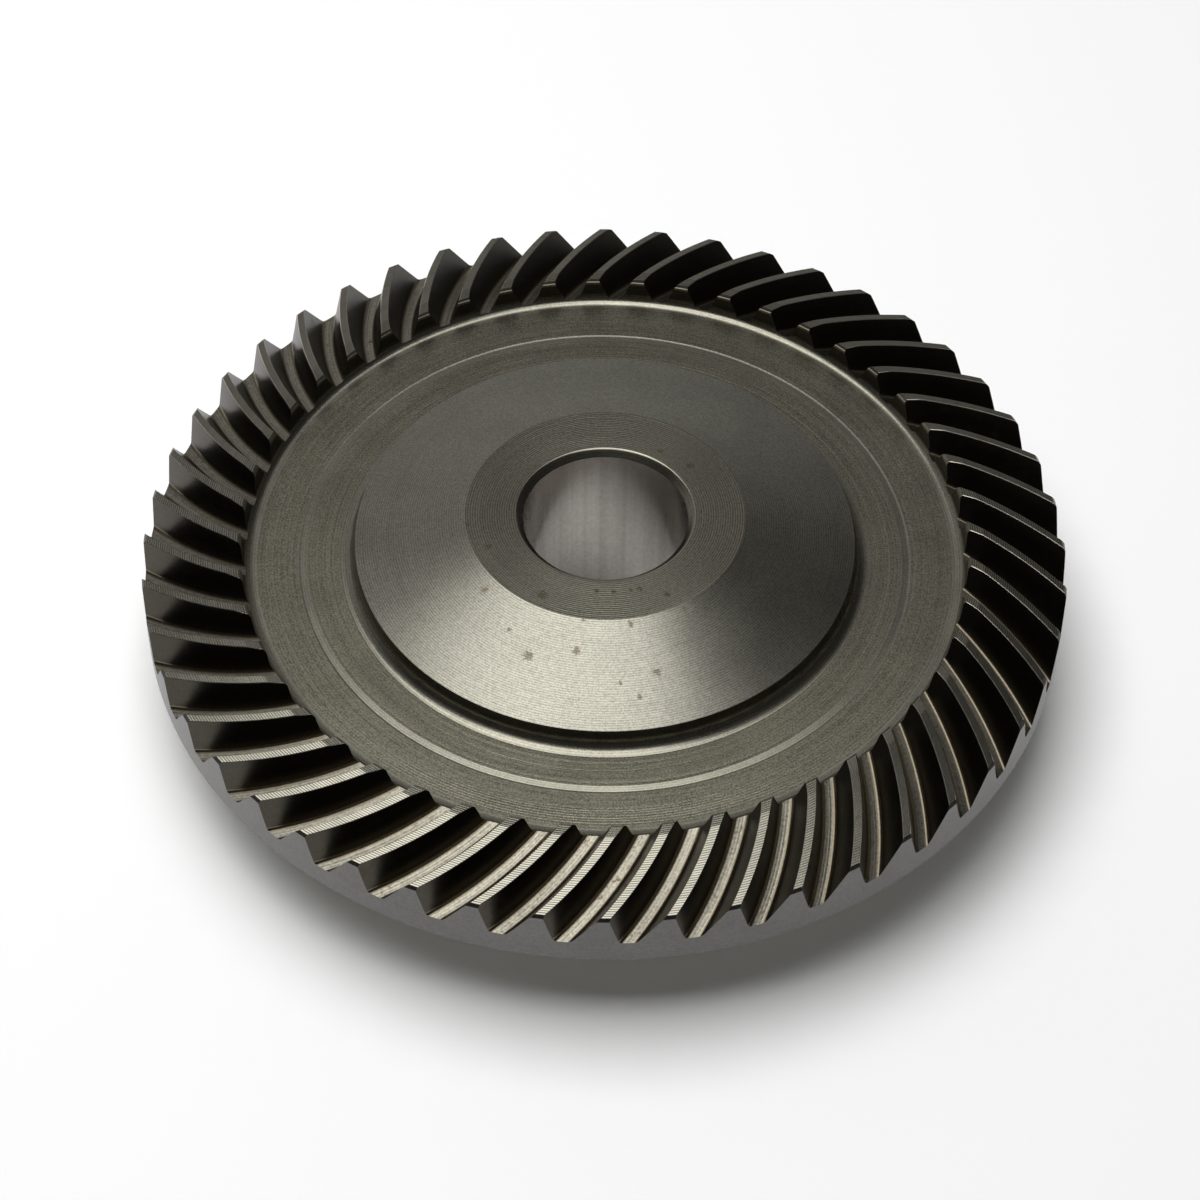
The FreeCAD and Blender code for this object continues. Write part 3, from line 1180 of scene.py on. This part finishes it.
class SteelBook:
    """Builds the steel's materials from five shared effects."""

    LINE_STRETCH = 0.08
    FINE_LINE_SCALE = 3.7
    FINE_LINE_SHARE = 0.4
    LINE_TONE = (0.35, 1.05)
    COARSE_GRAIN_SCALE = 0.45
    COARSE_GRAIN_SHARE = 0.3
    BLOTCH_SCALE = 0.03
    GRAIN_TONE = (0.45, 0.85)
    PATCH_SCALE = 0.15
    PATCH_SHARE = 0.5
    STAIN_START = 1.02
    STAIN_REACH = 0.7
    STAIN_EDGE = 0.16
    STAIN_STRENGTH = 0.75
    STAIN_ROUGHNESS = 0.15
    SPECK_SCALE = 5.0
    SPECK_SPREAD = 2.2
    SPECK_EDGE = (2.1, 1.6)
    RING_WIDTH = 0.06
    RING_DEPTH = 4.0
    BORE_STRETCH = 10
    WORN_SHARE = 0.92
    WORN_BLOTCH = (0.35, 0.65)

    def __init__(self) -> None:
        """Builds the shared node groups."""
        self.lines = self.tool_lines()
        self.grain = self.blasted_grain()
        self.stains = self.brown_stains()
        self.ring = self.witness_ring()
        self.speck = self.brown_speck()

    def tool_lines(self) -> bpy.types.NodeTree:
        """Lines that a tool leaves side by side, uneven in height and spacing.

        The height is a wave at the line pitch, as strong as Regular says, a noise at the pitch
        and a finer one. The noises hardly change along the lines.
        """
        names = ("Across", "Along", "Pitch", "Regular")
        sheet, given, out = new_group("tool_lines", names, ("Height", "Tone"))
        across = sheet.maths("DIVIDE", given["Across"], given["Pitch"])
        along = sheet.maths("MULTIPLY", given["Along"], self.LINE_STRETCH)
        spot = sheet.node("ShaderNodeCombineXYZ", {"X": across, "Y": along}).outputs[0]
        coarse = sheet.noise(spot, 1.0, 1.0)
        fine = sheet.noise(spot, self.FINE_LINE_SCALE, 2.0)
        wave = sheet.maths("SINE", sheet.maths("MULTIPLY", across, 2 * math.pi))
        rough = sheet.maths("ADD", coarse, sheet.maths("MULTIPLY", fine, self.FINE_LINE_SHARE))
        height = sheet.maths("MULTIPLY_ADD", wave, given["Regular"], rough)
        sheet.feed(height, out["Height"])
        # Tone falls in the grooves and darkens the colour there: painted shade of the tool lines
        sheet.feed(sheet.ramp(height, *self.LINE_TONE), out["Tone"])
        return sheet.tree

    def blasted_grain(self) -> bpy.types.NodeTree:
        """Fine grain of blasted steel: two sizes of noise, added, and a broad one beside them."""
        names = ("Height", "Tone", "Blotch")
        sheet, given, out = new_group("blasted_grain", ("Vector", "Size"), names)
        scale = sheet.maths("DIVIDE", 1 / MM, given["Size"])
        fine = sheet.noise(given["Vector"], scale, 2.0)
        coarse_scale = sheet.maths("MULTIPLY", scale, self.COARSE_GRAIN_SCALE)
        coarse = sheet.noise(given["Vector"], coarse_scale, 2.0)
        height = sheet.maths("MULTIPLY_ADD", coarse, self.COARSE_GRAIN_SHARE, fine)
        broad_scale = sheet.maths("MULTIPLY", scale, self.BLOTCH_SCALE)
        broad = sheet.noise(given["Vector"], broad_scale, 3.0)
        sheet.feed(height, out["Height"])
        # Tone darkens the colour in the grain's low spots: its mottle, partly painted shade of the
        # pits
        sheet.feed(sheet.ramp(height, *self.GRAIN_TONE), out["Tone"])
        sheet.feed(broad, out["Blotch"])
        return sheet.tree

    def brown_stains(self) -> bpy.types.NodeTree:
        """Spots of tarnish: the peaks of a noise, cut off by the share they cover."""
        sheet, given, out = new_group("brown_stains", ("Vector", "Size", "Cover"), ("Mask",))
        scale = sheet.maths("DIVIDE", 1 / MM, given["Size"])
        spots = sheet.noise(given["Vector"], scale, 4.0)
        patch_scale = sheet.maths("MULTIPLY", scale, self.PATCH_SCALE)
        patches = sheet.noise(given["Vector"], patch_scale, 2.0)
        both = sheet.maths("MULTIPLY_ADD", patches, self.PATCH_SHARE, spots)
        start = sheet.maths("MULTIPLY_ADD", given["Cover"], -self.STAIN_REACH, self.STAIN_START)
        whole = sheet.maths("ADD", start, self.STAIN_EDGE)
        sheet.feed(sheet.ramp(both, start, whole), out["Mask"])
        return sheet.tree

    def witness_ring(self) -> bpy.types.NodeTree:
        """One fine groove round the axis: deepest at its radius, level a width away."""
        sheet, given, out = new_group("witness_ring", ("Radius", "Ring", "Width"), ("Mask",))
        away = sheet.maths("ABSOLUTE", sheet.maths("SUBTRACT", given["Radius"], given["Ring"]))
        sheet.feed(sheet.ramp(away, given["Width"], 0.0), out["Mask"])
        return sheet.tree

    def brown_speck(self) -> bpy.types.NodeTree:
        """One ragged speck: a disc in plan whose edge a noise breaks up."""
        sheet, given, out = new_group("brown_speck", ("Vector", "Centre", "Width"), ("Mask",))
        ends = {0: given["Vector"], 1: given["Centre"]}
        away = sheet.node("ShaderNodeVectorMath", ends, operation="DISTANCE")
        share = sheet.maths("DIVIDE", away.outputs["Value"], given["Width"])
        ragged = sheet.noise(given["Vector"], self.SPECK_SCALE / MM, 2.0)
        edge = sheet.maths("MULTIPLY_ADD", ragged, self.SPECK_SPREAD, share)
        sheet.feed(sheet.ramp(edge, *self.SPECK_EDGE), out["Mask"])
        return sheet.tree

    def material(self, zone: Zone, finish: SteelFinish) -> bpy.types.Material:
        """Builds the material of one zone.

        Args:
            zone: the zone it is for.
            finish: its values.

        Returns:
            The material.
        """
        steel = bpy.data.materials.new(f"steel_{zone.name.lower()}")
        steel.use_nodes = True
        sheet = ShaderSheet(steel.node_tree)
        spot = sheet.node("ShaderNodeTexCoord").outputs["Object"]
        axes = sheet.parts(spot)
        flat = sheet.node("ShaderNodeCombineXYZ", {"X": axes["X"], "Y": axes["Y"]}).outputs[0]
        length = sheet.node("ShaderNodeVectorMath", {0: flat}, operation="LENGTH").outputs["Value"]
        radius = sheet.maths("MULTIPLY", length, 1 / MM)
        across, along = radius, sheet.maths("MULTIPLY", axes["X"], 1 / MM)
        if finish.run is MarkRun.ROUND_BY_HEIGHT:
            across = sheet.maths("MULTIPLY", axes["Z"], 1 / MM)
        if finish.run is MarkRun.DOWN_BORE:
            across, along = along, sheet.maths("MULTIPLY", axes["Y"], self.BORE_STRETCH / MM)
        if finish.run is MarkRun.ALONG_TOOTH:
            skin = sheet.parts(sheet.node("ShaderNodeUVMap", uv_map="skin").outputs[0])
            across, along = skin["Y"], skin["X"]
        feeds = {"Across": across, "Along": along}
        feeds |= {"Pitch": finish.line_pitch, "Regular": finish.line_regular}
        lines = sheet.group(self.lines, feeds)
        grain = sheet.group(self.grain, {"Vector": spot, "Size": finish.grain_size})
        height = sheet.maths("MULTIPLY", lines["Height"], finish.line_height)
        height = sheet.maths("MULTIPLY_ADD", grain["Height"], finish.grain_height, height)
        for ring in finish.witness:
            feeds = {"Radius": radius, "Ring": ring, "Width": self.RING_WIDTH}
            mark = sheet.group(self.ring, feeds)["Mask"]
            height = sheet.maths("MULTIPLY_ADD", mark, -self.RING_DEPTH, height)
        feeds = {"Vector": spot, "Size": finish.stain_size, "Cover": finish.stain_cover}
        stain = sheet.group(self.stains, feeds)["Mask"]
        for distance, azimuth, width in finish.specks:
            turn = math.radians(azimuth)
            centre = (distance * math.cos(turn) * MM, distance * math.sin(turn) * MM, 0.0)
            feeds = {"Vector": flat, "Centre": centre, "Width": width * MM}
            stain = sheet.maths("MAXIMUM", stain, sheet.group(self.speck, feeds)["Mask"])
        # The lines and the grain darken the colour by their shade values: painted shade in the grooves
        # and pits
        tone = 1.0
        for shade, mark in ((finish.line_shade, lines["Tone"]), (finish.grain_shade, grain["Tone"])):
            tone = sheet.maths("MULTIPLY_ADD", sheet.maths("SUBTRACT", 1.0, mark), -shade, tone)
        self.shade(sheet, finish, height, tone, grain["Blotch"], stain)
        return steel

    def shade(self, sheet: ShaderSheet, finish: SteelFinish, *marks: Socket) -> None:
        """Adds the shader and links the colour, the roughness and the bumps.

        Args:
            sheet: the material's sheet.
            finish: the zone's values.
            marks: the surface's height in micrometres, what is left of the colour after the painted
                shade of the lines and the grain, the broad unevenness and the mask of the brown
                stains.
        """
        height, tone, blotch, stain = marks
        worn = (channel * self.WORN_SHARE for channel in finish.colour)
        share = sheet.ramp(blotch, *self.WORN_BLOTCH)
        colour = sheet.mixed(share, (*worn, 1.0), (*finish.colour, 1.0))
        strength = sheet.maths("MULTIPLY", stain, self.STAIN_STRENGTH)
        colour = sheet.mixed(strength, colour, (*finish.stain, 1.0))
        feeds = {0: colour, "Scale": tone}
        colour = sheet.node("ShaderNodeVectorMath", feeds, operation="SCALE").outputs[0]
        least = finish.roughness - finish.uneven
        uneven = sheet.maths("MULTIPLY_ADD", blotch, 2 * finish.uneven, least)
        rough = sheet.maths("MULTIPLY_ADD", stain, self.STAIN_ROUGHNESS, uneven)
        bump = sheet.node("ShaderNodeBump", {"Distance": MM * MM, "Height": height}).outputs[0]
        feeds = {"Metallic": 1.0, "Base Color": colour, "Roughness": rough, "Normal": bump}
        shader = sheet.node("ShaderNodeBsdfPrincipled", feeds)
        sheet.node("ShaderNodeOutputMaterial", {"Surface": shader.outputs[0]})


@dataclass(frozen=True)
class CameraStand:
    """The photograph's camera, from the fit of the gear's edges; lengths in millimetres."""

    lens: float = 94.06
    sensor: float = 36.0
    elevation: float = 49.234
    roll: float = 0.93
    swing: float = -1.04
    distance: float = 243.4
    target: tuple[float, float, float] = (-0.31, -6.76, 13.4)

    def set_up(self) -> bpy.types.Object:
        """Places the camera and makes it the scene's.

        Returns:
            The camera.
        """
        rise = math.radians(self.elevation)
        roll = math.radians(self.roll)
        level = Vector((1.0, 0.0, 0.0))
        upright = Vector((0.0, math.sin(rise), math.cos(rise)))
        ahead = Vector((0.0, math.cos(rise), -math.sin(rise)))
        right = math.cos(roll) * level + math.sin(roll) * upright
        top = math.cos(roll) * upright - math.sin(roll) * level
        spot = Vector(self.target) - self.distance * ahead
        stand = Matrix((right, top, -ahead)).transposed().to_4x4()
        stand.translation = spot * MM
        lens = bpy.data.cameras.new("photo_camera")
        lens.sensor_width = self.sensor
        lens.lens = self.lens
        lens.clip_start = 0.01
        camera = add_object("photo_camera", lens)
        camera.matrix_world = Matrix.Rotation(math.radians(self.swing), 4, "Z") @ stand
        bpy.context.scene.camera = camera
        return camera


@dataclass(frozen=True)
class Studio:
    """A white table, a soft box overhead, a fill that only mat things show, and a dim room.

    Lengths are metres and powers watts.
    """

    table_size: float = 4.0
    table_colour: tuple[float, float, float] = (0.93, 0.93, 0.93)
    table_glow: float = 0.05
    box_size: tuple[float, float] = (0.3, 0.36)
    box_height: float = 0.413
    box_place: tuple[float, float] = (-0.058, 0.034)
    box_power: float = 0.84
    fill_size: tuple[float, float] = (0.45, 0.54)
    fill_height: float = 0.6
    fill_place: tuple[float, float] = (-0.14, 0.06)
    fill_power: float = 2.5
    room_level: float = -0.135
    room_slope: tuple[float, float, float] = (-0.24, 0.58, 0.0)
    room_least: float = 0.04

    def set_up(self) -> None:
        """Builds the table, the soft box and the room's light."""
        self.lay_table()
        self.hang_box()
        self.light_room()
        bpy.context.scene.view_settings.view_transform = "Standard"

    def lay_table(self) -> None:
        """Lays the white table top at the gear's foot."""
        half = self.table_size / 2
        mesh = bpy.data.meshes.new("table")
        corners = [(-half, -half, 0.0), (half, -half, 0.0), (half, half, 0.0), (-half, half, 0.0)]
        mesh.from_pydata(corners, [], [(0, 1, 2, 3)])
        white = bpy.data.materials.new("white_table")
        white.use_nodes = True
        sheet = ShaderSheet(white.node_tree)
        ray = sheet.node("ShaderNodeLightPath").outputs
        seen = sheet.maths("MAXIMUM", ray["Is Camera Ray"], ray["Is Glossy Ray"])
        seen = sheet.maths("MAXIMUM", seen, ray["Is Transmission Ray"])
        feeds = {
            "Base Color": (*self.table_colour, 1.0),
            "Roughness": 0.8,
            "Specular IOR Level": 0.0,
            "Emission Color": (1.0, 1.0, 1.0, 1.0),
            "Emission Strength": sheet.maths("MULTIPLY", seen, self.table_glow),
        }
        paint = sheet.node("ShaderNodeBsdfPrincipled", feeds)
        sheet.node("ShaderNodeOutputMaterial", {"Surface": paint.outputs[0]})
        mesh.materials.append(white)
        table = add_object("table", mesh)

    def hang_box(self) -> None:
        """Hangs the soft box and the fill over the gear, both facing down."""
        box = self.panel("soft_box", self.box_size, self.box_power)
        box.location = (*self.box_place, self.box_height)
        fill = self.panel("fill", self.fill_size, self.fill_power)
        fill.location = (*self.fill_place, self.fill_height)
        fill.visible_glossy = False

    @staticmethod
    def panel(name: str, size: tuple[float, float], power: float) -> bpy.types.Object:
        """Makes a flat lamp.

        Args:
            name: the lamp's name.
            size: its width and depth, in metres.
            power: its power, in watts.

        Returns:
            The lamp.
        """
        data = bpy.data.lights.new(name, "AREA")
        data.shape = "RECTANGLE"
        data.size, data.size_y = size
        data.energy = power
        return add_object(name, data)

    def light_room(self) -> None:
        """Fills the room with light that is strongest behind the gear and weakest in front."""
        world = bpy.data.worlds.new("room")
        world.use_nodes = True
        sheet = ShaderSheet(world.node_tree)
        look = sheet.node("ShaderNodeTexCoord").outputs["Generated"]
        feeds = {0: look, 1: self.room_slope}
        slope = sheet.node("ShaderNodeVectorMath", feeds, operation="DOT_PRODUCT")
        level = sheet.maths("ADD", slope.outputs["Value"], self.room_level)
        level = sheet.maths("MAXIMUM", level, self.room_least)
        glow = sheet.node("ShaderNodeBackground", {"Strength": level})
        sheet.node("ShaderNodeOutputWorld", {"Surface": glow.outputs[0]})
        bpy.context.scene.world = world


def main() -> None:
    """Builds the gear's skin, its materials, the studio and the camera."""
    logging.basicConfig(level=logging.INFO, format="%(name)s: %(message)s")
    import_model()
    sizes = GearSizes.from_frame()
    skin = GearSkin(sizes).build()
    book = SteelBook()
    for zone in Zone:
        skin.data.materials.append(book.material(zone, FINISHES_AND_PAINTED_LIGHT[zone]))
    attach(skin, "root")
    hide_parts(NODE)
    LOG.info("%s: dressed in %d finishes", skin.name, len(Zone))
    Studio().set_up()
    CameraStand().set_up()
    LOG.info("studio and camera set")


if __name__ == "__main__":
    main()
